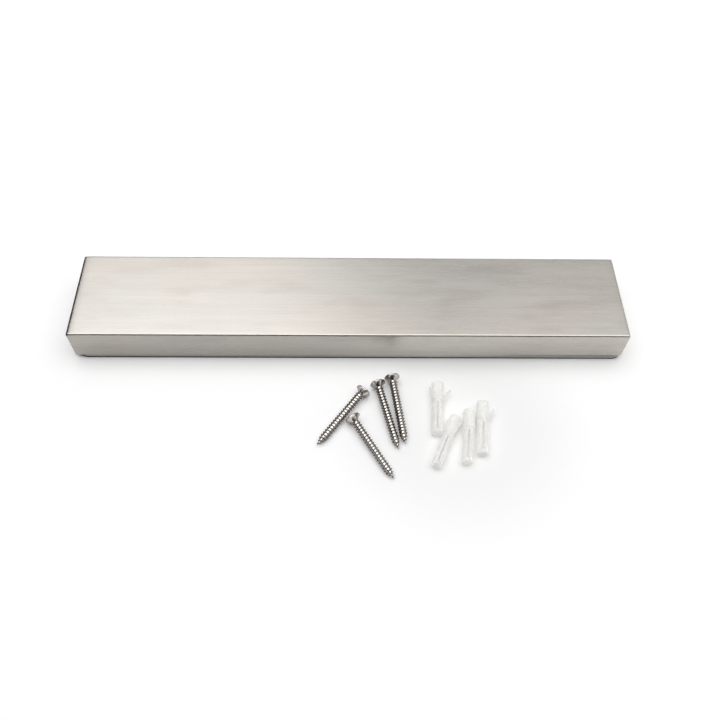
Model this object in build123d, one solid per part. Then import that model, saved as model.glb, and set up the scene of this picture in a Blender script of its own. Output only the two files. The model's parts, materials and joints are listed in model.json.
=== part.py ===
from build123d import *
import os
from math import atan, degrees

# A magnetic knife rack, with the screws and wall plugs that fix it, in millimetres.
#
# The origin is the centre of the wall plate's back face. +X runs along the rack, +Y is up when the rack
# hangs on a wall, and +Z points from the wall to the knife face. Lying on a table, the rack rests on that
# back face, with its screws and plugs beside it on the same surface.
#
# The plate is screwed to the wall. The cover, with everything that is fixed inside it, then snaps onto the
# plate by four retaining magnets, and lifts straight off along +Z.

# ---- The whole rack --------------------------------------------------------------------------------
rack_length = 350.0
rack_width = 64.0
rack_depth = 25.0  # from the wall to the knife face

# ---- Wall plate ------------------------------------------------------------------------------------
plate_thickness = 3.0
plate_width = rack_width - 0.4
plate_corner_radius = 7.0
wall_hole_radius = 2.75
wall_hole_sink_radius = 5.2
wall_hole_spacing_x = 300.0
wall_hole_spacing_y = 38.0

# ---- Cover -----------------------------------------------------------------------------------------
sheet = 1.0
bend_radius = 1.3  # outside the bend
cover_shift = -1.2  # where the cover sits along X, within the play that the end lugs give it
rim_height = plate_thickness + 0.2  # of the cover's rim, above the wall
rim_rise = 0.8  # the rim stands this much higher at its right-hand end
rim_rise_length = 120.0
face_inside = rack_depth - sheet  # height of the inside of the knife face

# ---- Locating lugs: riveted angles on the plate that stand inside the cover's walls ------------------
lug_sheet = 1.5
lug_height = 8.0
lug_foot = 12.0
lug_width = 16.0
lug_bend_inside = 0.8
side_lug_x = 100.0
side_play = 0.4
end_play = 1.5
rivet_radius = 1.6
rivet_sink_radius = 2.6
rivet_head_radius = 3.0
rivet_head_height = 1.4
rivet_round_share = 0.8  # of the head's height

# ---- Magnets that hold the knives ------------------------------------------------------------------
magnet_length = 42.0
magnet_width = 19.0
magnet_height = 8.0
magnet_pitch = 46.5
magnets_per_row = 7
magnet_row_y = 13.0
magnet_chamfer = 0.4
pocket_play = 0.2

# ---- Carrier and yoke ------------------------------------------------------------------------------
carrier_length = 336.0
carrier_width = 55.0
carrier_wall = 2.0
carrier_corner_radius = 3.0
tape_thickness = 0.5
carrier_top = face_inside - tape_thickness
carrier_bottom = 7.0
yoke_thickness = 2.0
yoke_play = 0.3
yoke_top = face_inside - magnet_height
yoke_bottom = yoke_top - yoke_thickness
yoke_screw_radius = 1.3
yoke_screw_length = 7.0
yoke_screw_head_radius = 2.8
yoke_screw_head_height = 1.8
yoke_screw_x = (-156.0, -90.0, 0.0, 90.0, 156.0)
yoke_screw_play = 0.2
tape_length = 328.0
side_tape_width = 4.0
middle_tape_width = 6.0
side_tape_y = carrier_width / 2 - 2.5

# ---- Retaining magnets that grip the plate -----------------------------------------------------------
retainer_x = (-135.0, -45.0, 45.0, 135.0)
cup_radius = 12.5
cup_height = 7.0
cup_wall = 1.5
cup_base = 2.0
cup_round = 1.0
ring_bore_radius = 4.6
ring_recess = 0.2
ring_play = 0.2
ring_chamfer = 0.3
retainer_screw_radius = 2.0
retainer_head_radius = 3.6
retainer_head_height = 2.4
retainer_screw_reach = 1.5  # past the yoke's front
retainer_hole_radius = 2.15
retainer_tip_room = 0.5  # around and past the screw's tip, in the carrier
spacer_radius = 5.0
spacer_chamfer = 0.3

# ---- The small screws' proportions, as shares of their own radii and heights --------------------------
pan_tip_share = 0.35  # chamfer at the tip, of the shank's radius
pan_round_share = 0.6  # rounding of the head, of its height
pan_slot_length_share = 1.1  # of the head's radius
pan_slot_width_share = 0.24  # of the head's radius
pan_slot_depth_share = 0.6  # of the head's height

# ---- Wall screws: raised countersunk wood screws, 5 x 46 -----------------------------------------------
screw_length = 46.0  # from the head's rim to the point
screw_radius = 2.5
screw_core_radius = 1.8
screw_pitch = 1.95
screw_head_radius = 4.85
screw_rim_height = 0.4
screw_cone_depth = 2.6
screw_dome_height = 1.3
screw_point_length = 6.5
screw_recess_reach = 2.7
screw_recess_width = 1.1
screw_recess_depth = 2.6
thread_root = 0.58  # the share of each turn that is plain core
thread_crest_start = 0.72
thread_crest_end = 0.78
thread_lead = 0.12  # how much sooner the crest grows than the core, from the point
thread_end_room = 1.5  # turns of bare point below the last ridge
dome_middle_out = 0.55  # where the head's dome passes between its crown and its rim, as shares of
dome_middle_up = 0.78  # the head's radius and the dome's height
recess_foot_share = 0.6  # the recess's width at its floor, against its mouth

# ---- Wall plugs: 8 x 36, with a collar, a split lower body and two springy wings -----------------------
plug_length = 36.0
plug_radius = 3.8
plug_body_radius = 3.35
plug_collar_length = 12.5
plug_step_length = 1.0
plug_mouth_chamfer = 0.35
plug_tip_round = 1.5
plug_bore_radius = 2.4
plug_bore_end_radius = 1.1
plug_bore_end = 32.0
plug_slit_width = 1.0
plug_slit_start = 15.0
plug_slit_end = 33.5
wing_length = 9.5
wing_width = 3.0
wing_thickness = 0.9
wing_root = 1.2
wing_sink = 0.55  # how far the wing's outer face lies inside the collar
wing_chamfer = 0.8
wing_seat_play = 0.2

# Where each loose piece lies beside the rack: the head's or mouth's x and y, the heading of its tip in
# degrees from +X, and, for a plug, how far each wing stands out from the body, in degrees.
loose_screws = {
    "wall_screw_1": (7.1, -59.5, -127.5),
    "wall_screw_2": (0.5, -78.7, -58.4),
    "wall_screw_3": (16.3, -54.1, -75.5),
    "wall_screw_4": (25.3, -49.6, -81.6),
}
loose_plugs = {
    "wall_plug_1": (53.6, -53.4, -93.8, 34.0, 8.0),
    "wall_plug_2": (63.5, -77.6, -113.5, 8.0, 6.0),
    "wall_plug_3": (72.2, -72.9, -97.4, 0.0, 0.0),
    "wall_plug_4": (80.8, -67.2, -95.4, 26.0, 0.0),
}
screw_lying_roll = 30.0

BASE = (Align.CENTER, Align.CENTER, Align.MIN)
TOP = (Align.CENTER, Align.CENTER, Align.MAX)
SIDE = (Align.MAX, Align.CENTER, Align.MIN)


def slab(length, width, low, high, corner=0.0):
    """A flat block between two heights, with its upright corners rounded."""
    block = Pos(0, 0, low) * Box(length, width, high - low, align=BASE)
    if corner:
        block = fillet(block.edges().filter_by(Axis.Z), corner)
    return block


def post(radius, low, high):
    """An upright cylinder between two heights."""
    return Pos(0, 0, low) * Cylinder(radius, high - low, align=BASE)


def sink(low_radius, high_radius, low, high):
    """An upright cone between two heights."""
    return Pos(0, 0, low) * Cone(low_radius, high_radius, high - low, align=BASE)


def wall_hole_places():
    """The four places where a wall screw goes through the plate."""
    return [
        Pos(side_x * wall_hole_spacing_x / 2, side_y * wall_hole_spacing_y / 2, 0)
        for side_x in (-1, 1)
        for side_y in (-1, 1)
    ]


def lug_places():
    """Each lug's name and the place of its upstand's outer face, turned so that +X faces the cover's wall."""
    inner_x = rack_length / 2 - sheet - end_play
    inner_y = rack_width / 2 - sheet - side_play
    return {
        "lug_lower_left": Pos(-side_lug_x, -inner_y, 0) * Rot(0, 0, -90),
        "lug_lower_right": Pos(side_lug_x, -inner_y, 0) * Rot(0, 0, -90),
        "lug_upper_left": Pos(-side_lug_x, inner_y, 0) * Rot(0, 0, 90),
        "lug_upper_right": Pos(side_lug_x, inner_y, 0) * Rot(0, 0, 90),
        "lug_end_left": Pos(-inner_x, 0, 0) * Rot(0, 0, 180),
        "lug_end_right": Pos(inner_x, 0, 0),
    }


def rivet_place(lug_place):
    """The rivet goes through the middle of the lug's foot."""
    return lug_place * Pos(-(lug_foot + lug_sheet) / 2, 0, 0)


def wall_plate():
    """A flat plate with rounded corners, four countersunk wall-screw holes and a hole for each rivet."""
    plate = slab(rack_length, plate_width, 0, plate_thickness, plate_corner_radius)
    sink_slope = screw_cone_depth / (screw_head_radius - screw_core_radius)
    sink_depth = (wall_hole_sink_radius - wall_hole_radius) * sink_slope
    hole = post(wall_hole_radius, 0, plate_thickness)
    hole += sink(wall_hole_radius, wall_hole_sink_radius, plate_thickness - sink_depth, plate_thickness)
    for place in wall_hole_places():
        plate -= place * hole
    rivet_hole = post(rivet_radius, 0, plate_thickness)
    rivet_hole += sink(rivet_sink_radius, rivet_radius, 0, rivet_sink_radius - rivet_radius)
    for lug_place in lug_places().values():
        plate -= rivet_place(lug_place) * rivet_hole
    return plate


def locating_lug():
    """A small angle: a foot flat on the plate, and an upstand with its outer face at x = 0."""
    outside = lug_bend_inside + lug_sheet
    foot = Pos(0, 0, plate_thickness) * Box(lug_foot, lug_width, lug_sheet, align=SIDE)
    upstand = Pos(0, 0, plate_thickness) * Box(lug_sheet, lug_width, lug_height, align=SIDE)
    gusset = Box(lug_bend_inside, lug_width, lug_bend_inside, align=SIDE)
    gusset = Pos(-lug_sheet, 0, plate_thickness + lug_sheet) * gusset
    inner_bend = Rot(90, 0, 0) * Cylinder(lug_bend_inside, lug_width)
    gusset -= Pos(-outside, 0, plate_thickness + outside) * inner_bend
    lug = foot + upstand + gusset
    outer_corner = lug.edges().filter_by(Axis.Y).group_by(Axis.Z)[0].sort_by(Axis.X)[-1]
    lug = fillet(outer_corner, outside)
    tips = lug.edges().filter_by(Axis.X).group_by(Axis.Z)[-1]
    lug = chamfer(tips, lug_sheet)
    return lug - rivet_place(Pos()) * post(rivet_radius, plate_thickness, plate_thickness + lug_sheet)


def lug_rivet():
    """A rivet with a low domed head on the lug's foot, and its tail flush in the plate's back."""
    seat = plate_thickness + lug_sheet
    rivet = post(rivet_radius, 0, seat)
    rivet += sink(rivet_sink_radius, rivet_radius, 0, rivet_sink_radius - rivet_radius)
    head = post(rivet_head_radius, seat, seat + rivet_head_height)
    head = fillet(head.edges().group_by(Axis.Z)[-1], rivet_head_height * rivet_round_share)
    return rivet + head


def cover():
    """A box folded from sheet, with welded and dressed corners, open towards the wall."""
    height = rack_depth - rim_height
    shell = Pos(0, 0, rim_height) * Box(rack_length, rack_width, height, align=BASE)
    bends = shell.edges().filter_by(Axis.Z) + shell.edges().group_by(Axis.Z)[-1]
    shell = fillet(bends, bend_radius)
    room = Pos(0, 0, rim_height) * Box(
        rack_length - 2 * sheet, rack_width - 2 * sheet, height - sheet, align=BASE
    )
    inner_bends = room.edges().filter_by(Axis.Z) + room.edges().group_by(Axis.Z)[-1]
    shell -= fillet(inner_bends, bend_radius - sheet)
    right_end = rack_length / 2
    rise = Polyline(
        (right_end - rim_rise_length, rim_height),
        (right_end, rim_height + rim_rise),
        (right_end, rim_height),
        close=True,
    )
    wedge = extrude(Plane.XZ * make_face(rise), rack_width / 2, both=True)
    return Pos(cover_shift, 0, 0) * (shell - wedge)


def magnet_places():
    """Each block magnet's name and the place of its centre in plan."""
    first = -(magnets_per_row - 1) / 2 * magnet_pitch
    return {
        f"magnet_{row}_{number + 1}": Pos(cover_shift + first + number * magnet_pitch, y, 0)
        for row, y in (("lower", -magnet_row_y), ("upper", magnet_row_y))
        for number in range(magnets_per_row)
    }


def block_magnet():
    """A ferrite block with ground edges, against the inside of the knife face."""
    block = slab(magnet_length, magnet_width, yoke_top, face_inside)
    return chamfer(block.edges(), magnet_chamfer)


def carrier():
    """A moulded tray: a lattice of magnet pockets above a skirt that surrounds the yoke."""
    tray = slab(carrier_length, carrier_width, carrier_bottom, carrier_top, carrier_corner_radius)
    room = slab(
        carrier_length - 2 * carrier_wall,
        carrier_width - 2 * carrier_wall,
        carrier_bottom,
        yoke_top,
        carrier_corner_radius - carrier_wall,
    )
    tray = Pos(cover_shift, 0, 0) * (tray - room)
    pocket = slab(magnet_length + 2 * pocket_play, magnet_width + 2 * pocket_play, yoke_top, carrier_top)
    for place in magnet_places().values():
        tray -= place * pocket
    yoke_screw_end = yoke_bottom + yoke_screw_length
    for x in yoke_screw_x:
        tray -= Pos(cover_shift + x, 0, 0) * post(yoke_screw_radius, yoke_top, yoke_screw_end)
    for x in retainer_x:
        room_radius = retainer_screw_radius + retainer_tip_room
        room_end = yoke_top + retainer_screw_reach + retainer_tip_room
        tray -= Pos(cover_shift + x, 0, 0) * post(room_radius, yoke_top, room_end)
    return tray


def yoke():
    """A soft-steel plate behind the magnets, with clearance holes and tapped holes."""
    plate = slab(
        carrier_length - 2 * (carrier_wall + yoke_play),
        carrier_width - 2 * (carrier_wall + yoke_play),
        yoke_bottom,
        yoke_top,
        carrier_corner_radius - carrier_wall,
    )
    for x in yoke_screw_x:
        plate -= Pos(x, 0, 0) * post(yoke_screw_radius + yoke_screw_play, yoke_bottom, yoke_top)
    for x in retainer_x:
        plate -= Pos(x, 0, 0) * post(retainer_screw_radius, yoke_bottom, yoke_top)
    return Pos(cover_shift, 0, 0) * plate


def pan_screw(radius, head_radius, head_height, seat, tip):
    """An upward screw with a domed head under its seat and a cross recess."""
    shank = chamfer(post(radius, seat, tip).edges().group_by(Axis.Z)[-1], radius * pan_tip_share)
    head = post(head_radius, seat - head_height, seat)
    head = fillet(head.edges().group_by(Axis.Z)[0], head_height * pan_round_share)
    arm = Box(
        head_radius * pan_slot_length_share,
        head_radius * pan_slot_width_share,
        head_height * pan_slot_depth_share,
        align=BASE,
    )
    arm = Pos(0, 0, seat - head_height) * arm
    return shank + head - arm - Rot(0, 0, 90) * arm


def yoke_screws():
    """Five small screws that hold the yoke up against the carrier's lattice."""
    screw = pan_screw(
        yoke_screw_radius,
        yoke_screw_head_radius,
        yoke_screw_head_height,
        yoke_bottom,
        yoke_bottom + yoke_screw_length,
    )
    return [Pos(cover_shift + x, 0, 0) * screw for x in yoke_screw_x]


def tape_strip(width):
    """A strip of foam tape between the carrier and the inside of the knife face."""
    return Pos(cover_shift, 0, 0) * slab(tape_length, width, carrier_top, face_inside)


def retainer_cup():
    """A steel pot, open towards the plate, which it touches."""
    top = plate_thickness + cup_height
    cup = post(cup_radius, plate_thickness, top)
    cup = fillet(cup.edges().group_by(Axis.Z)[-1], cup_round)
    cup -= post(cup_radius - cup_wall, plate_thickness, top - cup_base)
    return cup - post(retainer_hole_radius, top - cup_base, top)


def retainer_ring():
    """The ferrite ring in the pot, set back a little from its edge."""
    low = plate_thickness + ring_recess
    high = plate_thickness + cup_height - cup_base
    ring = post(cup_radius - cup_wall - ring_play, low, high) - post(ring_bore_radius, low, high)
    return chamfer(ring.edges().filter_by(GeomType.CIRCLE).group_by(Axis.Z)[0], ring_chamfer)


def retainer_spacer():
    """A sleeve between the pot and the yoke."""
    low = plate_thickness + cup_height
    sleeve = post(spacer_radius, low, yoke_bottom) - post(retainer_hole_radius, low, yoke_bottom)
    outer_rims = sleeve.edges().filter_by(GeomType.CIRCLE).group_by(SortBy.LENGTH)[-1]
    return chamfer(outer_rims, spacer_chamfer)


def retainer_screws():
    """Four machine screws, each from inside its pot up into the yoke's tapped hole."""
    screw = pan_screw(
        retainer_screw_radius,
        retainer_head_radius,
        retainer_head_height,
        plate_thickness + cup_height - cup_base,
        yoke_top + retainer_screw_reach,
    )
    return [Pos(cover_shift + x, 0, 0) * screw for x in retainer_x]


def screw_outline():
    """Half of the wall screw's section, from its rim to its point, with the rim's top at z = 0."""
    neck = screw_rim_height + screw_cone_depth
    point_start = screw_length - screw_point_length
    outline = [(screw_head_radius, -screw_rim_height), (screw_core_radius, -neck)]
    start = neck
    while start + screw_pitch < point_start:
        outline += thread_ridge(start, screw_core_radius, screw_radius)
        start += screw_pitch
    while start + thread_end_room * screw_pitch < screw_length:
        left = (screw_length - start - screw_pitch) / screw_point_length
        crest = screw_radius * min(1.0, left + thread_lead)
        outline += thread_ridge(start, screw_core_radius * min(1.0, left), crest)
        start += screw_pitch
    outline.append((0, -screw_length))
    return outline


def thread_ridge(start, core, crest):
    """One turn of thread as a ridge: a root, a steep flank, a narrow crest and a flatter flank."""
    return [
        (core, -start - thread_root * screw_pitch),
        (crest, -start - thread_crest_start * screw_pitch),
        (crest, -start - thread_crest_end * screw_pitch),
        (core, -start - screw_pitch),
    ]


def wall_screw():
    """A raised countersunk wood screw, upright, with its rim's top at z = 0 and its point down."""
    points = screw_outline()
    dome = ThreePointArc(
        (0, screw_dome_height),
        (screw_head_radius * dome_middle_out, screw_dome_height * dome_middle_up),
        (screw_head_radius, 0),
    )
    flank = Polyline((screw_head_radius, 0), *points)
    axis_line = Line(points[-1], (0, screw_dome_height))
    section = make_face(Curve() + [dome, flank, axis_line])
    body = revolve(Plane.XZ * section, Axis.Z)
    mouth = Rectangle(2 * screw_recess_reach, screw_recess_width)
    foot = Rectangle(screw_recess_reach, screw_recess_width * recess_foot_share)
    recess_floor = screw_dome_height - screw_recess_depth
    arm = loft([Pos(0, 0, screw_dome_height) * mouth, Pos(0, 0, recess_floor) * foot])
    return body - arm - Rot(0, 0, 90) * arm


def plug_wing(spread):
    """A springy wing hinged at the collar's lower end, turned out from the body by spread degrees."""
    blade = Pos(0, 0, -wing_root) * Box(wing_width, wing_thickness, wing_length + wing_root, align=BASE)
    blade = chamfer(blade.edges().filter_by(Axis.Y).group_by(Axis.Z)[-1], wing_chamfer)
    hinge_y = plug_radius - wing_sink - wing_thickness / 2
    return Pos(0, hinge_y, -plug_collar_length) * Rot(-spread, 0, 0) * blade


def wall_plug(right_spread, left_spread):
    """A nylon expansion plug, upright, with its mouth at z = 0: a collar, a split body and two wings."""
    body_start = plug_collar_length + plug_step_length
    outside = Polyline(
        (0, 0),
        (plug_radius, 0),
        (plug_radius, -plug_collar_length),
        (plug_body_radius, -body_start),
        (plug_body_radius, -plug_length),
        (0, -plug_length),
        close=True,
    )
    body = revolve(Plane.XZ * make_face(outside), Axis.Z)
    body = chamfer(body.edges().group_by(Axis.Z)[-1], plug_mouth_chamfer)
    body = fillet(body.edges().group_by(Axis.Z)[0], plug_tip_round)
    body -= post(plug_bore_radius, -body_start, 0)
    body -= sink(plug_bore_end_radius, plug_bore_radius, -plug_bore_end, -body_start)
    slit_length = plug_slit_end - plug_slit_start
    body -= Pos(0, 0, -plug_slit_start) * Box(2 * plug_radius, plug_slit_width, slit_length, align=TOP)
    seat_depth = 2 * wing_thickness + wing_seat_play
    seat = Box(wing_width + 2 * wing_seat_play, seat_depth, wing_length + 3 * wing_seat_play, align=BASE)
    seat = Pos(0, plug_radius, -plug_collar_length) * seat
    half_turn = Rot(0, 0, 180)
    body -= seat
    body -= half_turn * seat
    return body + plug_wing(right_spread) + half_turn * plug_wing(left_spread)


def lay_down(piece, x, y, heading, tilt, roll=0.0):
    """Lays an upright piece on the table, tip first along its heading, with its tip tilted down."""
    laid = Rot(0, 0, heading) * Rot(0, tilt - 90, 0) * Rot(0, 0, roll) * piece
    lowest = laid.bounding_box().min.Z
    return Pos(x, y, -lowest) * laid


def write(name, solids):
    """Writes one named node, which holds one solid or a group of separate ones."""
    if isinstance(solids, list):
        solids = Compound(children=solids)
    export_step(solids, f"parts/{name}.step")


def main():
    os.makedirs("parts", exist_ok=True)

    write("wall_plate", wall_plate())
    lug = locating_lug()
    for name, place in lug_places().items():
        write(name, place * lug)
    rivet = lug_rivet()
    write("lug_rivets", [rivet_place(place) * rivet for place in lug_places().values()])

    write("cover", cover())
    write("magnet_carrier", carrier())
    write("yoke_plate", yoke())
    write("yoke_screws", yoke_screws())
    write("tape_lower", Pos(0, -side_tape_y, 0) * tape_strip(side_tape_width))
    write("tape_middle", tape_strip(middle_tape_width))
    write("tape_upper", Pos(0, side_tape_y, 0) * tape_strip(side_tape_width))
    magnet = block_magnet()
    for name, place in magnet_places().items():
        write(name, place * magnet)
    for number, x in enumerate(retainer_x, start=1):
        place = Pos(cover_shift + x, 0, 0)
        write(f"retainer_cup_{number}", place * retainer_cup())
        write(f"retainer_ring_{number}", place * retainer_ring())
        write(f"retainer_spacer_{number}", place * retainer_spacer())
    write("retainer_screws", retainer_screws())

    screw = wall_screw()
    screw_tilt = degrees(atan((screw_head_radius - screw_radius) / (screw_length - screw_point_length)))
    for name, (x, y, heading) in loose_screws.items():
        write(name, lay_down(screw, x, y, heading, screw_tilt, screw_lying_roll))
    plug_tilt = degrees(atan((plug_radius - plug_body_radius) / (plug_length - plug_tip_round)))
    for name, (x, y, heading, right_spread, left_spread) in loose_plugs.items():
        write(name, lay_down(wall_plug(right_spread, left_spread), x, y, heading, plug_tilt))


main()
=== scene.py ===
import json
import math

import bmesh
import bpy
from mathutils import Euler, Matrix, Vector


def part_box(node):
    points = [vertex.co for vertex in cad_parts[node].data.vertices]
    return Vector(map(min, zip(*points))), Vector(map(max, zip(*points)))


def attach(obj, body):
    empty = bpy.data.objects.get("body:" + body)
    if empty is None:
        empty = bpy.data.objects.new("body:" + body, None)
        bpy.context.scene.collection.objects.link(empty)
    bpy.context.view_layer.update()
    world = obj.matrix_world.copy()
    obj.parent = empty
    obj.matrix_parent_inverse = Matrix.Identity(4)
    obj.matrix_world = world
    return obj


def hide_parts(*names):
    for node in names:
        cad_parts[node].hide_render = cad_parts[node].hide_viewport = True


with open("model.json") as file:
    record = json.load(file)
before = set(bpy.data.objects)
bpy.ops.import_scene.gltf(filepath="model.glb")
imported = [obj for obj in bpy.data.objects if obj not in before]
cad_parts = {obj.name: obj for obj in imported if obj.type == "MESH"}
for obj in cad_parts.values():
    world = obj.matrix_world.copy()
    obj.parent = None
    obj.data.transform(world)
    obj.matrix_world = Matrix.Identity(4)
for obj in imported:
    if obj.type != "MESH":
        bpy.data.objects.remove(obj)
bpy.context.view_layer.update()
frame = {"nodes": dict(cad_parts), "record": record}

MM = 0.001
MICRON = 0.000001
UP = Vector((0, 0, 1))


# ======================================================================================================
# Node graphs
# ======================================================================================================
# Most of a noise texture's values lie between these two.
NOISE_LOW = 0.3
NOISE_HIGH = 0.7


class Graph:
    """A short way to write a node tree: add() makes a node and links or sets its inputs by name."""

    def __init__(self, tree):
        self.tree = tree
        tree.nodes.clear()

    def add(self, kind, inputs=None, **settings):
        node = self.tree.nodes.new(kind)
        for name, value in settings.items():
            setattr(node, name, value)
        for name, value in (inputs or {}).items():
            self.plug(node.inputs[name], value)
        return node

    def plug(self, socket, value):
        if isinstance(value, bpy.types.NodeSocket):
            self.tree.links.new(value, socket)
        elif isinstance(value, bpy.types.Node):
            self.tree.links.new(value.outputs[0], socket)
        else:
            socket.default_value = value

    def place(self):
        """The point's place in the object's own axes, in metres."""
        return self.add("ShaderNodeTexCoord").outputs["Object"]

    def axis(self, vector, name):
        return self.add("ShaderNodeSeparateXYZ", {"Vector": vector}).outputs[name]

    def math(self, operation, *values, clamp=False):
        node = self.add("ShaderNodeMath", dict(enumerate(values)), operation=operation, use_clamp=clamp)
        return node.outputs[0]

    def product(self, *factors):
        result = factors[0]
        for factor in factors[1:]:
            result = self.math("MULTIPLY", result, factor)
        return result

    def weighted(self, first, first_share, second, second_share):
        return self.math("MULTIPLY_ADD", first, first_share, self.math("MULTIPLY", second, second_share))

    def distance(self, coordinate, point):
        away = self.add("ShaderNodeVectorMath", {0: coordinate, 1: point}, operation="DISTANCE")
        return away.outputs["Value"]

    def scaled(self, coordinate, x, y, z=1.0):
        stretched = self.add("ShaderNodeVectorMath", {0: coordinate, 1: (x, y, z)}, operation="MULTIPLY")
        return stretched.outputs["Vector"]

    def noise(self, coordinate, scale=1.0, detail=2.0, roughness=0.5):
        inputs = {"Vector": coordinate, "Scale": scale, "Detail": detail, "Roughness": roughness}
        return self.add("ShaderNodeTexNoise", inputs).outputs["Fac"]

    def fit(self, value, from_low, from_high, to_low, to_high, smooth=False):
        inputs = {
            "Value": value,
            "From Min": from_low,
            "From Max": from_high,
            "To Min": to_low,
            "To Max": to_high,
        }
        kind = "SMOOTHSTEP" if smooth else "LINEAR"
        return self.add("ShaderNodeMapRange", inputs, interpolation_type=kind).outputs[0]

    def spread(self, noise, low, high):
        """A noise whose usual values run from low to high."""
        return self.fit(noise, NOISE_LOW, NOISE_HIGH, low, high)

    def rise(self, value, start, end):
        return self.fit(value, start, end, 0.0, 1.0, smooth=True)

    def fall(self, value, start, end):
        return self.fit(value, start, end, 1.0, 0.0, smooth=True)

    def mix(self, factor, low, high):
        node = self.add("ShaderNodeMix", data_type="RGBA")
        self.plug(node.inputs["Factor"], factor)
        self.plug(node.inputs["A"], low)
        self.plug(node.inputs["B"], high)
        return node.outputs["Result"]

    def bump(self, height, distance, strength=1.0, normal=None):
        inputs = {"Height": height, "Distance": distance, "Strength": strength}
        if normal is not None:
            inputs["Normal"] = normal
        return self.add("ShaderNodeBump", inputs).outputs["Normal"]


def rgba(red, green, blue):
    return (red, green, blue, 1.0)


def grey(value):
    return rgba(value, value, value)


def new_material(name, build):
    """A material whose surface is a Principled BSDF, with the sockets that build(graph) gives."""
    material = bpy.data.materials.new(name)
    material.use_nodes = True
    graph = Graph(material.node_tree)
    surface = graph.add("ShaderNodeBsdfPrincipled", build(graph))
    graph.add("ShaderNodeOutputMaterial", {"Surface": surface.outputs["BSDF"]})
    return material


# ======================================================================================================
# Materials
# ======================================================================================================
# Coordinates are in metres, so a noise's scale is roughly how many spots it has to a metre.
def brushed_stainless(g):
    """Long fine scratches along U, cool, warm and dulled patches, and a highlight across the scratches."""
    cool_dark, cool_bright = rgba(0.612, 0.587, 0.552), rgba(0.668, 0.643, 0.604)
    warm_dark, warm_bright = rgba(0.627, 0.586, 0.537), rgba(0.683, 0.642, 0.591)
    handled = rgba(0.50, 0.455, 0.42)

    uv = g.add("ShaderNodeUVMap", uv_map="grain").outputs["UV"]
    fine = g.noise(g.scaled(uv, 60, 5200), detail=3.0, roughness=0.7)
    streak = g.noise(g.scaled(uv, 9, 950), detail=3.0, roughness=0.65)
    band = g.noise(g.scaled(uv, 3, 170), detail=2.0)
    haze = g.noise(g.scaled(uv, 14, 75), detail=3.0, roughness=0.5)
    patch = g.noise(g.scaled(uv, 22, 70), detail=2.0, roughness=0.5)
    tint = g.noise(g.scaled(uv, 11, 19), detail=1.0)

    shade = g.fit(g.weighted(streak, 0.6, band, 0.4), 0.35, 0.65, 0, 1)
    cool = g.mix(shade, cool_dark, cool_bright)
    warm = g.mix(shade, warm_dark, warm_bright)
    clean = g.mix(g.rise(tint, 0.35, 0.65), cool, warm)
    touched = g.fit(patch, 0.48, 0.74, 0.0, 0.32, smooth=True)
    return {
        "Base Color": g.mix(touched, clean, handled),
        "Metallic": 1.0,
        "Roughness": g.math("ADD", g.spread(haze, 0.25, 0.295), g.spread(fine, -0.02, 0.03)),
        "Anisotropic": 0.7,
        "Anisotropic Rotation": 0.25,
        "Tangent": g.add("ShaderNodeTangent", direction_type="UV_MAP", uv_map="grain").outputs[0],
        "Normal": g.bump(g.math("ADD", fine, streak), 3.5 * MICRON, 0.6, g.bump(haze, 30 * MICRON)),
    }


# The plate's upright faces are painted near black below the first height, fading out by the second: a
# painted contact shadow along the floor.
CONTACT_SHADE_FULL_HEIGHT = 0.8 * MM
CONTACT_SHADE_END_HEIGHT = 1.6 * MM


def plate_steel(g):
    """Cold-rolled plate: a satin face with rolling lines, and a sheared edge, painted near black low down
    as contact shade.
    """
    place = g.place()
    upright = g.math("ABSOLUTE", g.axis(g.add("ShaderNodeTexCoord").outputs["Normal"], "Z"))
    painted_shade_low_down = g.fall(g.axis(place, "Z"), CONTACT_SHADE_FULL_HEIGHT, CONTACT_SHADE_END_HEIGHT)
    on_edge = g.fit(upright, 0.8, 0.95, 1.0, 0.0)
    rolled = g.noise(g.scaled(place, 12, 900, 900), detail=3.0, roughness=0.6)
    cloud = g.noise(place, scale=35, detail=4.0)
    speck = g.noise(place, scale=2600, detail=2.0)
    tone = g.fit(g.weighted(rolled, 0.6, cloud, 0.4), 0.35, 0.65, 0, 1)
    sheet = g.mix(tone, rgba(0.46, 0.45, 0.435), rgba(0.58, 0.57, 0.55))
    return {
        # Painted contact shadow: the upright faces low down turn near black.
        "Base Color": g.mix(g.product(painted_shade_low_down, on_edge), sheet, rgba(0.02, 0.018, 0.017)),
        "Metallic": 1.0,
        "Roughness": g.math("ADD", g.spread(cloud, 0.28, 0.40), g.spread(speck, -0.03, 0.03)),
        "Normal": g.bump(g.math("ADD", rolled, g.math("MULTIPLY", speck, 0.5)), 6 * MICRON),
    }


def zinc_steel(g):
    """Bright zinc plating: soft crystal patches and a faint blue passivation."""
    place = g.place()
    cells = g.add("ShaderNodeTexVoronoi", {"Vector": place, "Scale": 420.0}, feature="SMOOTH_F1")
    crystal = g.add("ShaderNodeSeparateColor", {"Color": cells.outputs["Color"]}).outputs[0]
    cloud = g.noise(place, scale=90, detail=3.0)
    grain = g.noise(place, scale=3000, detail=2.0)
    return {
        "Base Color": g.mix(g.spread(cloud, 0, 1), rgba(0.55, 0.58, 0.61), rgba(0.68, 0.68, 0.66)),
        "Metallic": 1.0,
        "Roughness": g.math("ADD", g.fit(crystal, 0, 1, 0.27, 0.40), g.spread(grain, -0.03, 0.03)),
        "Normal": g.bump(grain, 8 * MICRON),
    }


def turned_metal(low, high, rough):
    """A plated or turned piece: fine drawn lines around it and a slow change of tone."""

    def build(g):
        place = g.place()
        lines = g.noise(g.scaled(place, 60, 60, 5200), detail=3.0, roughness=0.6)
        cloud = g.noise(place, scale=120, detail=3.0)
        drawn = g.spread(lines, rough - 0.05, rough + 0.06)
        return {
            "Base Color": g.mix(g.spread(cloud, 0, 1), low, high),
            "Metallic": 1.0,
            "Roughness": g.math("ADD", drawn, g.spread(cloud, 0, 0.05)),
            "Normal": g.bump(lines, 6 * MICRON),
        }

    return build


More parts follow.
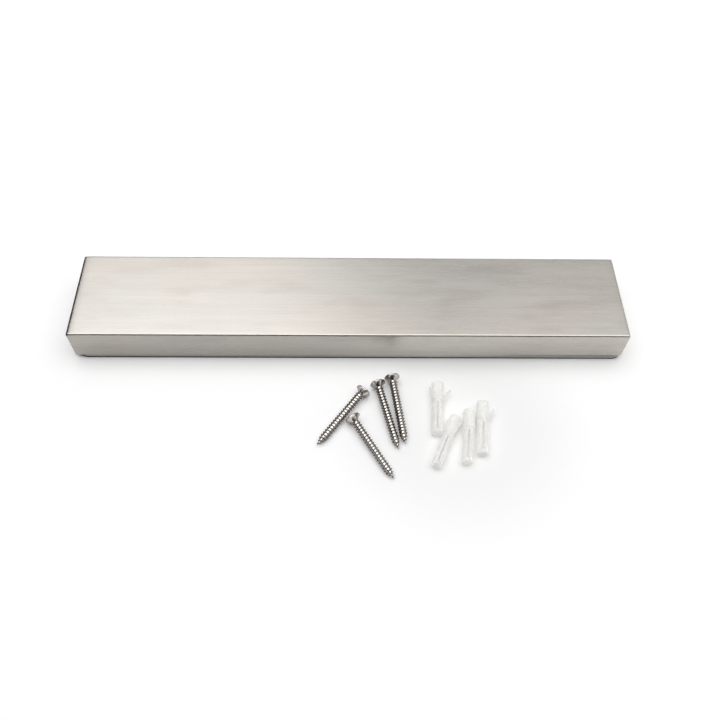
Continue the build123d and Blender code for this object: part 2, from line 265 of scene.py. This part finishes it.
def ferrite(g):
    """Sintered ferrite: charcoal, matt, with grinding lines, pores and a little pale dust."""
    place = g.place()
    ground = g.noise(g.scaled(place, 90, 2400, 2400), detail=3.0)
    pores = g.noise(place, scale=1900, detail=3.0, roughness=0.7)
    dust = g.noise(place, scale=150, detail=4.0, roughness=0.7)
    dusty = g.fit(dust, 0.55, 0.8, 0, 0.5, smooth=True)
    base = g.mix(g.fit(pores, 0.35, 0.7, 0, 1), grey(0.028), rgba(0.07, 0.071, 0.076))
    return {
        "Base Color": g.mix(dusty, base, rgba(0.16, 0.158, 0.155)),
        "Roughness": g.spread(pores, 0.55, 0.75),
        "Normal": g.bump(g.math("ADD", ground, pores), 25 * MICRON),
    }


def black_plastic(g):
    """Moulded black ABS with a fine spark-eroded texture."""
    place = g.place()
    grain = g.noise(place, scale=3600, detail=3.0, roughness=0.6)
    flow = g.noise(g.scaled(place, 14, 60, 60), detail=3.0)
    return {
        "Base Color": g.mix(g.spread(flow, 0, 1), rgba(0.014, 0.014, 0.015), rgba(0.026, 0.026, 0.028)),
        "Roughness": g.math("ADD", g.spread(flow, 0.42, 0.52), g.spread(grain, -0.05, 0.07)),
        "Normal": g.bump(grain, 20 * MICRON),
    }


def foam_tape(g):
    """White closed-cell foam tape."""
    place = g.place()
    cells = g.add("ShaderNodeTexVoronoi", {"Vector": place, "Scale": 2600.0}, feature="F1")
    hollow = cells.outputs["Distance"]
    cloud = g.noise(place, scale=60, detail=3.0)
    return {
        "Base Color": g.mix(g.spread(cloud, 0, 1), rgba(0.70, 0.69, 0.66), rgba(0.82, 0.82, 0.80)),
        "Roughness": g.fit(hollow, 0.0, 0.6, 0.95, 0.8),
        "Normal": g.bump(hollow, 60 * MICRON),
    }


# A screw's attribute "stand" is 0 on the thread's core, 1 on its crest and this on the head.
HEAD_MARK = -1.0


def screw_steel(g):
    """Nickel-plated screw steel, with painted shade on the thread's flanks and a painted dark reflection
    where it turns from view.
    """
    stand = g.add("ShaderNodeAttribute", attribute_name="stand").outputs["Fac"]
    facing = g.add("ShaderNodeLayerWeight", {"Blend": 0.5}).outputs["Facing"]
    # Painted shade: dark brown on the thread's flanks, strongest midway between core and crest.
    painted_flank_shade = g.math("MULTIPLY", g.product(stand, g.math("SUBTRACT", 1.0, stand)), 3.2, clamp=True)
    # Painted reflection of dark surroundings: darker where the surface turns from view, less so on the
    # head.
    turned = g.fit(facing, 0.24, 0.48, 0.0, 0.97, smooth=True)
    painted_dark_reflection = g.product(turned, g.fit(stand, HEAD_MARK, 0.0, 0.4, 1.0))
    place = g.place()
    cloud = g.noise(place, scale=260, detail=4.0)
    grain = g.noise(place, scale=4200, detail=3.0, roughness=0.6)
    bright = g.mix(g.spread(cloud, 0, 1), rgba(0.70, 0.66, 0.62), rgba(0.80, 0.765, 0.73))
    shaded = g.mix(painted_dark_reflection, bright, rgba(0.045, 0.031, 0.022))
    return {
        "Base Color": g.mix(painted_flank_shade, shaded, rgba(0.075, 0.053, 0.038)),
        "Metallic": 1.0,
        "Roughness": g.spread(cloud, 0.10, 0.19),
        "Normal": g.bump(grain, 6 * MICRON),
    }


NYLON_SCATTER = 4.0 * MM


def plug_nylon(g):
    """Natural nylon: milky and see-through where thin, denser towards its edges, with flow marks and a
    faint painted glow.
    """
    place = g.place()
    flow = g.noise(place, scale=420, detail=4.0)
    skin = g.noise(place, scale=2600, detail=3.0)
    facing = g.add("ShaderNodeLayerWeight", {"Blend": 0.42}).outputs["Facing"]
    return {
        "Base Color": g.mix(g.spread(flow, 0, 1), rgba(0.96, 0.955, 0.91), rgba(0.99, 0.985, 0.935)),
        "Roughness": g.math("ADD", g.spread(flow, 0.36, 0.48), g.spread(skin, -0.03, 0.03)),
        "IOR": 1.53,
        "Specular IOR Level": 0.3,
        "Subsurface Weight": 0.8,
        "Subsurface Radius": (NYLON_SCATTER, NYLON_SCATTER, NYLON_SCATTER),
        "Subsurface Scale": 1.0,
        # Painted light: a faint white glow standing in for light that passes through the nylon.
        "Emission Color": grey(1.0),
        "Emission Strength": 0.1,
        "Alpha": g.math("ADD", g.fit(facing, 0.1, 0.9, 0.58, 0.84), g.spread(flow, -0.04, 0.04)),
        "Normal": g.bump(g.math("ADD", flow, g.math("MULTIPLY", skin, 0.3)), 10 * MICRON),
    }


FINISHES = {
    "brushed_stainless": brushed_stainless,
    "plate_steel": plate_steel,
    "zinc_steel": zinc_steel,
    "rivet_aluminium": turned_metal(rgba(0.62, 0.62, 0.63), rgba(0.76, 0.76, 0.77), 0.32),
    "spacer_aluminium": turned_metal(rgba(0.66, 0.67, 0.68), rgba(0.78, 0.78, 0.79), 0.28),
    "ferrite": ferrite,
    "black_plastic": black_plastic,
    "foam_tape": foam_tape,
    "nickel_steel": turned_metal(rgba(0.60, 0.57, 0.52), rgba(0.72, 0.69, 0.64), 0.22),
    "small_screw_steel": turned_metal(rgba(0.62, 0.62, 0.62), rgba(0.74, 0.74, 0.75), 0.24),
    "screw_steel": screw_steel,
    "plug_nylon": plug_nylon,
}
materials = {slot: new_material(slot, build) for slot, build in FINISHES.items()}


# ======================================================================================================
# Mesh helpers
# ======================================================================================================
# Edges shorter than this are removed after points are merged.
NO_LENGTH = 0.002 * MM


def from_bmesh(name, bm, smooth=True):
    """An object in the scene from a bmesh, its faces turned outwards."""
    bmesh.ops.recalc_face_normals(bm, faces=bm.faces)
    mesh = bpy.data.meshes.new(name)
    bm.to_mesh(mesh)
    bm.free()
    for polygon in mesh.polygons:
        polygon.use_smooth = smooth
    piece = bpy.data.objects.new(name, mesh)
    bpy.context.scene.collection.objects.link(piece)
    return piece


def bridge(bm, upper, lower):
    """Faces between two closed rings of as many vertices."""
    for here in range(len(upper)):
        there = (here + 1) % len(upper)
        bm.faces.new((upper[here], lower[here], lower[there], upper[there]))


def weld(bm, reach):
    """Merges points that lie within reach of each other."""
    bmesh.ops.remove_doubles(bm, verts=bm.verts, dist=reach)
    bmesh.ops.dissolve_degenerate(bm, edges=bm.edges, dist=NO_LENGTH)


def round_edges(piece, width, segments, angle):
    """Rounds the edges that are sharper than the angle, in degrees."""
    rounding = piece.modifiers.new("edges", "BEVEL")
    rounding.width = width
    rounding.segments = segments
    rounding.limit_method = "ANGLE"
    rounding.angle_limit = math.radians(angle)


def bake_modifiers(piece):
    """Replaces the piece's mesh with what its modifiers make of it."""
    bpy.context.view_layer.update()
    evaluated = piece.evaluated_get(bpy.context.evaluated_depsgraph_get())
    mesh = bpy.data.meshes.new_from_object(evaluated)
    piece.modifiers.clear()
    old = piece.data
    piece.data = mesh
    bpy.data.meshes.remove(old)
    mesh.name = piece.name


def carve(piece, tools):
    """Cuts the tools from the piece, one after the other."""
    for tool in tools:
        boolean = piece.modifiers.new("cut", "BOOLEAN")
        boolean.object = tool
        boolean.operation = "DIFFERENCE"
        boolean.solver = "EXACT"
        bake_modifiers(piece)
        bpy.data.objects.remove(tool)


def dress(piece, body, slot, *nodes):
    """Gives a finished piece its slot's material and its body, and hides the CAD nodes that it stands for.
    """
    piece.data.materials.append(materials[slot])
    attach(piece, body)
    if nodes:
        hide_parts(*nodes)


# ======================================================================================================
# CAD nodes that stay
# ======================================================================================================
PLATE_EDGE = 0.7 * MM
PLATE_EDGE_SEGMENTS = 3
PLATE_EDGE_ANGLE = 50


def finish_cad_nodes():
    """Every CAD node that stays gets its slot's material, and the sheared plate gets rounded edges."""
    for subpart in frame["record"]["subparts"]:
        mesh = frame["nodes"][subpart["node"]].data
        mesh.materials.clear()
        mesh.materials.append(materials[subpart["material_slot"]])
    round_edges(frame["nodes"]["wall_plate"], PLATE_EDGE, PLATE_EDGE_SEGMENTS, PLATE_EDGE_ANGLE)


# ======================================================================================================
# Cover
# ======================================================================================================
SHEET = 1.0 * MM
BEND = 1.3 * MM
BEND_STEPS = 6
# The rear rim rises by this much over this length, up to the right end.
RIM_RISE = 0.8 * MM
RIM_RISE_LENGTH = 120.0 * MM
# The knife face drops by this much over this length at each end, and has closer points there.
FACE_DROP = 0.14 * MM
FACE_DROP_LENGTH = 5.0 * MM
FACE_DROP_SHARES = (0.12, 0.3, 0.5, 0.72, 1.0)
STEPS_ALONG = 70
STEPS_ACROSS = 14
WALL_STEPS = 4
COVER_WELD = 0.005 * MM
COVER_EDGE = 0.12 * MM
COVER_EDGE_SEGMENTS = 2
COVER_EDGE_ANGLE = 60


def wall_points(start, end, steps, near_ends=()):
    """Places along a wall: even steps, between closer places at the given distances from both ends."""
    lead = [0.0, *near_ends]
    first, last = start + lead[-1], end - lead[-1]
    even = [first + (last - first) * step / steps for step in range(steps + 1)]
    before = [start + distance for distance in lead[:-1]]
    after = [end - distance for distance in reversed(lead[:-1])]
    return before + even + after


def rim_height(x, low, high):
    return low.z + RIM_RISE * max(0.0, (x - high.x + RIM_RISE_LENGTH) / RIM_RISE_LENGTH)


def face_height(x, low, high):
    to_end = max(0.0, min(x - low.x, high.x - x) - BEND)
    return high.z - FACE_DROP * max(0.0, 1.0 - to_end / FACE_DROP_LENGTH) ** 2


def cover_outline(xs, ys):
    """The bends' centres round the box, each with the heading from there to the wall, in degrees."""
    walls = (
        (-90.0, [(x, ys[0]) for x in xs]),
        (0.0, [(xs[-1], y) for y in ys]),
        (90.0, [(x, ys[-1]) for x in reversed(xs)]),
        (180.0, [(xs[0], y) for y in reversed(ys)]),
    )
    outline = []
    for heading, centres in walls:
        outline += [(centre, heading) for centre in centres]
        for step in range(1, BEND_STEPS):
            outline.append((centres[-1], heading + 90.0 * step / BEND_STEPS))
    return outline


def cover_shell():
    """The folded box: four walls, their bends and the knife face, as one sheet with a thickness."""
    low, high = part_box("cover")
    near_ends = [share * FACE_DROP_LENGTH for share in FACE_DROP_SHARES]
    xs = wall_points(low.x + BEND, high.x - BEND, STEPS_ALONG, near_ends)
    ys = wall_points(low.y + BEND, high.y - BEND, STEPS_ACROSS)
    bm = bmesh.new()

    # Each ring goes round the box: first up the walls (share), then round the bend to the face (tilt).
    levels = [(0.0, step / WALL_STEPS) for step in range(WALL_STEPS + 1)]
    levels += [(math.radians(90 * step / BEND_STEPS), 1.0) for step in range(1, BEND_STEPS + 1)]
    outline = cover_outline(xs, ys)
    rings = []
    for tilt, share in levels:
        ring = []
        for (centre_x, centre_y), heading in outline:
            reach = BEND * math.cos(tilt)
            x = centre_x + reach * math.cos(math.radians(heading))
            y = centre_y + reach * math.sin(math.radians(heading))
            foot = rim_height(x, low, high)
            wall_top = face_height(x, low, high) - BEND
            ring.append(bm.verts.new((x, y, foot + (wall_top - foot) * share + BEND * math.sin(tilt))))
        rings.append(ring)
    for lower, upper in zip(rings, rings[1:]):
        bridge(bm, upper, lower)

    grid = [[bm.verts.new((x, y, face_height(x, low, high))) for y in ys] for x in xs]
    for column, next_column in zip(grid, grid[1:]):
        for row in range(STEPS_ACROSS):
            bm.faces.new((column[row], next_column[row], next_column[row + 1], column[row + 1]))
    weld(bm, COVER_WELD)

    shell = from_bmesh("cover_shell", bm)
    lay_grain(shell.data)
    thickness = shell.modifiers.new("sheet", "SOLIDIFY")
    thickness.thickness = SHEET
    thickness.offset = -1.0
    thickness.use_even_offset = True
    bake_modifiers(shell)
    round_edges(shell, COVER_EDGE, COVER_EDGE_SEGMENTS, COVER_EDGE_ANGLE)
    shading = shell.modifiers.new("normals", "WEIGHTED_NORMAL")
    shading.keep_sharp = True
    shading.weight = 100
    return shell


# How far a face's normal points along X on the ends, and along Z on the knife face.
END_FACING = 0.92
TOP_FACING = 0.7
# The walls' grain lies this far from the knife face's, so that no wall repeats it.
END_GRAIN_SHIFT = 0.5
WALL_GRAIN_SHIFT = 0.2


def lay_grain(mesh):
    """UVs in metres, with U along the brushing: along X on the face and long walls, along Y on the ends."""
    layer = mesh.uv_layers.new(name="grain")
    for polygon in mesh.polygons:
        normal = polygon.normal
        for index in polygon.loop_indices:
            x, y, z = mesh.vertices[mesh.loops[index].vertex_index].co
            if abs(normal.x) > END_FACING:
                layer.data[index].uv = (y, z + END_GRAIN_SHIFT)
            elif abs(normal.z) > TOP_FACING:
                layer.data[index].uv = (x, y)
            else:
                layer.data[index].uv = (x, z - math.copysign(WALL_GRAIN_SHIFT, y))


# ======================================================================================================
# Wall screws
# ======================================================================================================
SCREW_LENGTH = 46.0 * MM
SCREW_RADIUS = 2.5 * MM
SCREW_CORE = 1.8 * MM
SCREW_PITCH = 1.95 * MM
SCREW_POINT = 6.5 * MM
SCREW_SHARP_ANGLE = 38
SCREW_WELD = 0.004 * MM
AROUND = 48

HEAD_RADIUS = 4.85 * MM
HEAD_RIM = 0.4 * MM
HEAD_CONE = 2.6 * MM
HEAD_DOME = 1.3 * MM
# The rings of the raised head, in degrees from its crown.
DOME_TILTS = (4, 18, 32, 46, 60, 73)
DOME_EDGE_IN = 0.12 * MM
DOME_EDGE_UP = 0.14 * MM
RIM_EDGE_IN = 0.1 * MM
RIM_EDGE_DOWN = 0.06 * MM
# The cone below the head is hollow by this much, shared between inwards and upwards.
CONE_BOW = 0.25 * MM
CONE_BOW_IN = 0.4
CONE_BOW_UP = 0.6
CONE_STEPS = 8
NECK_END = HEAD_RIM + HEAD_CONE

# The crest tapers later than the core by this share of the point, less over the point's last quarter.
THREAD_LEAD = 0.12
THREAD_LEAD_FADE = 4
THREAD_RUN_IN = 1.0 * MM
# Turns past the screw's length, which close the point.
SPARE_TURNS = 3
# One turn of thread: how far through the turn each point lies, and how far out it stands.
THREAD_PROFILE = (
    (0.0, 0.0),
    (0.29, 0.0),
    (0.56, 0.0),
    (0.60, 0.1),
    (0.71, 0.94),
    (0.735, 1.0),
    (0.76, 1.0),
    (0.785, 0.94),
    (0.96, 0.1),
)

# The cross recess: half length, half width and height from the crown, from above the head to its foot.
CROSS_LEVELS = (
    (2.75 * MM, 0.56 * MM, 0.5 * MM),
    (2.7 * MM, 0.53 * MM, 0.0),
    (1.3 * MM, 0.33 * MM, -2.6 * MM),
)

# Each screw is turned about its own axis by this many degrees more than the one before.
SCREW_TURN = 67
RIM_TOLERANCE = 0.2 * MM


def clamp(value):
    return max(0.0, min(1.0, value))


def thread_point(depth, stand):
    """The radius at a depth below the rim: the thread runs in at the neck and dies at the point."""
    taper = (SCREW_LENGTH - depth) / SCREW_POINT
    core = SCREW_CORE * clamp(taper)
    crest = SCREW_RADIUS * clamp(taper + THREAD_LEAD * min(1.0, THREAD_LEAD_FADE * max(0.0, taper)))
    run_in = clamp((depth - NECK_END) / THREAD_RUN_IN)
    return core + max(0.0, crest - core) * stand * run_in


def head_outline():
    """Radius and height of each ring of the head, from its crown down to the end of its cone."""
    tilts = [math.radians(tilt) for tilt in DOME_TILTS]
    outline = [(HEAD_RADIUS * math.sin(tilt), HEAD_DOME * math.cos(tilt)) for tilt in tilts]
    outline.append((HEAD_RADIUS - DOME_EDGE_IN, DOME_EDGE_UP))
    outline.append((HEAD_RADIUS, 0.0))
    outline.append((HEAD_RADIUS, -HEAD_RIM))
    start_radius, start_depth = HEAD_RADIUS - RIM_EDGE_IN, HEAD_RIM + RIM_EDGE_DOWN
    for step in range(CONE_STEPS + 1):
        share = step / CONE_STEPS
        bow = CONE_BOW * math.sin(math.pi * share)
        radius = start_radius + (SCREW_CORE - start_radius) * share - bow * CONE_BOW_IN
        depth = start_depth + (NECK_END - start_depth) * share - bow * CONE_BOW_UP
        outline.append((radius, -depth))
    return outline


def screw_mesh(name):
    """A raised countersunk wood screw with a true right-hand thread, upright, rim at z = 0, point down."""
    bm = bmesh.new()
    stand_layer = bm.verts.layers.float.new("stand")

    def vertex(index, radius, z, stand):
        angle = 2 * math.pi * index / AROUND
        made = bm.verts.new((radius * math.cos(angle), radius * math.sin(angle), z))
        made[stand_layer] = stand
        return made

    outline = head_outline()
    marks = [HEAD_MARK] * (len(outline) - 1) + [0.0]
    rings = []
    for (radius, z), mark in zip(outline, marks):
        rings.append([vertex(index, radius, z, mark) for index in range(AROUND)])
    for upper, lower in zip(rings, rings[1:]):
        bridge(bm, upper, lower)
    crown = vertex(0, 0.0, HEAD_DOME, HEAD_MARK)
    for here in range(AROUND):
        bm.faces.new((crown, rings[0][here], rings[0][(here + 1) % AROUND]))

    # The thread is a strip one pitch wide, wound down the core, each turn joined to the one below.
    turns = int((SCREW_LENGTH - NECK_END) / SCREW_PITCH) + SPARE_TURNS
    columns = []
    for column in range(-AROUND, turns * AROUND):
        strand = []
        for phase, stand in THREAD_PROFILE:
            depth = NECK_END + SCREW_PITCH * (column / AROUND + phase)
            depth = max(NECK_END, min(SCREW_LENGTH, depth))
            strand.append(vertex(column % AROUND, thread_point(depth, stand), -depth, stand))
        columns.append(strand)
    for number, strand in enumerate(columns[:-1]):
        side = columns[number + 1]
        for high in range(1, len(strand)):
            bm.faces.new((strand[high - 1], strand[high], side[high], side[high - 1]))
        if number + AROUND + 1 < len(columns):
            below, below_side = columns[number + AROUND][0], columns[number + AROUND + 1][0]
            bm.faces.new((strand[-1], below, below_side, side[-1]))
    weld(bm, SCREW_WELD)
    loose = [vert for vert in bm.verts if not vert.link_faces]
    bmesh.ops.delete(bm, geom=loose, context="VERTS")

    screw = from_bmesh(name, bm)
    carve(screw, [cross_arm(0), cross_arm(90)])
    screw.data.set_sharp_from_angle(angle=math.radians(SCREW_SHARP_ANGLE))
    return screw


def cross_arm(heading):
    """One arm of the cross recess: a block that narrows downwards."""
    bm = bmesh.new()
    corners = ((-1, -1), (1, -1), (1, 1), (-1, 1))
    rings = []
    for half_length, half_width, height in CROSS_LEVELS:
        z = HEAD_DOME + height
        rings.append([bm.verts.new((x * half_length, y * half_width, z)) for x, y in corners])
    bm.faces.new(rings[0])
    bm.faces.new(reversed(rings[-1]))
    for upper, lower in zip(rings, rings[1:]):
        bridge(bm, upper, lower)
    arm = from_bmesh("cross_arm", bm, smooth=False)
    arm.data.transform(Matrix.Rotation(math.radians(heading), 4, "Z"))
    return arm


def middle_of(points):
    return sum(points, Vector()) / len(points)


def screw_place(node):
    """Where the CAD screw lies: a matrix from the upright screw to the one on the table."""
    solid = frame["nodes"][node]
    points = [solid.matrix_world @ vertex.co for vertex in solid.data.vertices]
    middle = middle_of(points)
    tip = max(points, key=lambda point: (point - middle).length)
    head = [point for point in points if (point - tip).length > SCREW_LENGTH - HEAD_RIM]
    axis = (tip - middle_of(head)).normalized()

    def off_axis(point):
        return ((point - tip) - axis * (point - tip).dot(axis)).length

    rim = [point for point in points if off_axis(point) > HEAD_RADIUS - RIM_TOLERANCE]
    axis = (tip - middle_of(rim)).normalized()
    across = axis.cross(UP).normalized()
    turned = Matrix((across, axis.cross(across), -axis)).transposed().to_4x4()
    return Matrix.Translation(tip - axis * SCREW_LENGTH) @ turned


def wall_screws():
    """The four loose screws, each where its CAD screw lies and none of them below the table."""
    for number in range(1, 5):
        node = f"wall_screw_{number}"
        screw = screw_mesh(node + "_threaded")
        turn = Matrix.Rotation(math.radians(SCREW_TURN * number), 4, "Z")
        screw.data.transform(screw_place(node) @ turn)
        sunk = min(0.0, min(vertex.co.z for vertex in screw.data.vertices))
        screw.data.transform(Matrix.Translation((0, 0, -sunk)))
        dress(screw, node, "screw_steel", node)


# ======================================================================================================
# Stage
# ======================================================================================================
FLOOR_RADIUS = 4.0
# How much brighter the camera sees the floor than its light makes it, as on a bright studio sweep.
FLOOR_LIFT = 0.16
# The lift fades out close to what touches the floor, a painted contact shadow, and drops to this share
# around the loose pieces, a painted shadow pool.
CONTACT_REACH = 4.0 * MM
POOL_SHARE = 0.35
POOL_INNER = 20.0 * MM
POOL_OUTER = 95.0 * MM
# Reflections see a floor painted darker to the left of here than to the right, a painted dark reflection.
DULL_LEFT_X = -40.0 * MM
DULL_RIGHT_X = 50.0 * MM


def pool_middle():
    """The floor below the middle of the four plugs, where the loose pieces shade the floor most: the middle
    of the painted shadow pool.
    """
    corners = [corner for number in range(1, 5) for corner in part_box(f"wall_plug_{number}")]
    xs = [corner.x for corner in corners]
    ys = [corner.y for corner in corners]
    return ((min(xs) + max(xs)) / 2, (min(ys) + max(ys)) / 2, 0.0)


def white_floor():
    """A wide white floor that the camera sees lifted, less so in a painted contact shadow and a painted
    shadow pool, and that reflections see painted darker to the left.
    """
    bm = bmesh.new()
    bmesh.ops.create_circle(bm, cap_ends=True, segments=96, radius=FLOOR_RADIUS)
    floor = from_bmesh("floor", bm, smooth=False)

    def build(g):
        paths = g.add("ShaderNodeLightPath").outputs
        place = g.place()
        # Painted contact shadow and shadow pool: the camera-only lift is taken away near contacts and
        # around the loose pieces.
        near = g.add("ShaderNodeAmbientOcclusion", {"Distance": CONTACT_REACH}, samples=8).outputs["AO"]
        painted_contact_shade = g.fit(near, 0.3, 0.9, 0.0, 1.0)
        painted_shadow_pool = g.fit(g.distance(place, pool_middle()), POOL_INNER, POOL_OUTER, POOL_SHARE, 1.0, smooth=True)
        floor_reflection_shade = g.fit(g.axis(place, "X"), DULL_LEFT_X, DULL_RIGHT_X, 0.2, 0.03, smooth=True)
        return {
            # Painted reflection: glossy rays see the floor darkened, most on the left.
            "Base Color": g.mix(g.product(paths["Is Glossy Ray"], floor_reflection_shade), grey(0.93), grey(0.0)),
            "Roughness": 0.9,
            "Specular IOR Level": 0.2,
            "Emission Color": grey(1.0),
            "Emission Strength": g.product(paths["Is Camera Ray"], painted_contact_shade, painted_shadow_pool, FLOOR_LIFT),
        }

    floor.data.materials.append(new_material("floor_white", build))


# How bright each part of the surroundings is; the room's low glow is weaker to the front and the left.
CEILING_LIGHT = 1.8
PANEL_LIGHT_LEFT = 1.8
PANEL_LIGHT_RIGHT = 0.41
PANEL_LIGHT_FAR_RIGHT = 0.08
RIGHT_ROOM_LIGHT = 0.3
LOW_ROOM_LIGHT = 0.5
HIGH_ROOM_LIGHT = 0.015
FRONT_ROOM_SHARE = 0.1
LEFT_ROOM_SHARE = 0.22
# Directions lower than this count as this low, so that across and along stay finite.
LOWEST = 0.04


def studio_world():
    """What the metal reflects: a ceiling, a panel behind the rack, and a room that glows low down.

    across and along say where a ray meets a ceiling one unit up: to the right, and away from the camera.
    """
    world = bpy.data.worlds.new("studio")
    bpy.context.scene.world = world
    world.use_nodes = True
    g = Graph(world.node_tree)
    direction = g.add("ShaderNodeTexCoord").outputs["Generated"]
    axes = g.add("ShaderNodeSeparateXYZ", {"Vector": direction}).outputs
    height = g.math("MAXIMUM", axes["Z"], LOWEST)
    across = g.math("DIVIDE", axes["X"], height)
    along = g.math("DIVIDE", axes["Y"], height)

    ceiling = g.product(
        g.rise(along, -0.6, -0.36),
        g.fall(along, 0.42, 0.72),
        g.rise(across, -1.3, -0.9),
        g.fall(across, 0.9, 1.4),
        CEILING_LIGHT,
    )
    panel_light = g.math(
        "ADD",
        g.fit(across, -0.17, 0.17, PANEL_LIGHT_LEFT, PANEL_LIGHT_RIGHT, smooth=True),
        g.fit(across, 0.16, 0.3, 0.0, PANEL_LIGHT_FAR_RIGHT, smooth=True),
    )
    panel = g.product(
        g.rise(along, 0.42, 0.72),
        g.fall(along, 0.65, 1.35),
        g.rise(across, -0.68, -0.5),
        g.fall(across, 0.6, 1.0),
        panel_light,
    )
    right_room = g.product(g.rise(along, 0.9, 1.3), g.rise(across, -0.3, 0.6), RIGHT_ROOM_LIGHT)
    room = g.product(
        g.fit(axes["Z"], 0.26, 0.46, LOW_ROOM_LIGHT, HIGH_ROOM_LIGHT, smooth=True),
        g.fit(axes["Y"], -0.93, -0.7, FRONT_ROOM_SHARE, 1.0, smooth=True),
        g.fit(axes["X"], -0.95, -0.6, LEFT_ROOM_SHARE, 1.0, smooth=True),
    )
    glow = g.math("ADD", g.math("ADD", ceiling, panel), g.math("ADD", right_room, room))
    studio = g.add("ShaderNodeBackground", {"Color": grey(1.0), "Strength": glow})
    backdrop = g.add("ShaderNodeBackground", {"Color": grey(1.0), "Strength": 1.0})
    seen = g.add("ShaderNodeLightPath").outputs["Is Camera Ray"]
    both = g.add("ShaderNodeMixShader", {0: seen, 1: studio.outputs[0], 2: backdrop.outputs[0]})
    g.add("ShaderNodeOutputWorld", {"Surface": both.outputs[0]})


FILL_SIZE = 1.6
FILL_POWER = 2.0
FILL_PLACE = (0.0, 0.1, 1.3)


def ceiling_fill():
    """A large soft light above the table, which the metal doesn't mirror."""
    data = bpy.data.lights.new("ceiling_fill", "AREA")
    data.shape = "DISK"
    data.size = FILL_SIZE
    data.energy = FILL_POWER
    lamp = bpy.data.objects.new("ceiling_fill", data)
    lamp.location = FILL_PLACE
    lamp.visible_glossy = False
    lamp.visible_camera = False
    bpy.context.scene.collection.objects.link(lamp)


# The card's distance from the cover, its reach along the end and its heights above the table.
CARD_GAP = 6.0 * MM
CARD_FRONT = -50.0 * MM
CARD_BACK = 90.0 * MM
CARD_FOOT = 17.0 * MM
CARD_TOP = 39.5 * MM


def black_card():
    """A black card beyond the rack's left end, seen only in reflections: it darkens the bend there."""
    low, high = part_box("cover")
    x = low.x - CARD_GAP
    bm = bmesh.new()
    corners = (
        (CARD_FRONT, CARD_FOOT),
        (CARD_BACK, CARD_FOOT),
        (CARD_BACK, CARD_TOP),
        (CARD_FRONT, CARD_TOP),
    )
    bm.faces.new([bm.verts.new((x, y, z)) for y, z in corners])
    card = from_bmesh("black_card", bm, smooth=False)

    def build(g):
        return {"Base Color": grey(0.012), "Roughness": 0.8, "Specular IOR Level": 0.1}

    card.data.materials.append(new_material("card_black", build))
    card.visible_camera = False
    card.visible_diffuse = False
    card.visible_shadow = False


LENS = 38.571
SENSOR = 36.0
NEAREST = 10.0 * MM
# From the table below the middle of the cover to the camera, and the camera's turns in degrees.
CAMERA_OFFSET = Vector((-0.00307, -0.30883, 0.41281))
CAMERA_TURNS = (33.72, -1.021, -0.469)


def camera():
    """The camera stands in front of the rack and above it, and looks down at its knife face."""
    low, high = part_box("cover")
    data = bpy.data.cameras.new("camera")
    data.lens = LENS
    data.sensor_width = SENSOR
    data.clip_start = NEAREST
    holder = bpy.data.objects.new("camera", data)
    bpy.context.scene.collection.objects.link(holder)
    holder.location = Vector(((low.x + high.x) / 2, (low.y + high.y) / 2, 0.0)) + CAMERA_OFFSET
    holder.rotation_euler = Euler([math.radians(turn) for turn in CAMERA_TURNS])
    bpy.context.scene.camera = holder


# ======================================================================================================
# The scene
# ======================================================================================================
finish_cad_nodes()
dress(cover_shell(), "cover", "brushed_stainless", "cover")
wall_screws()
white_floor()
studio_world()
ceiling_fill()
black_card()
camera()
bpy.context.scene.view_settings.view_transform = "Standard"
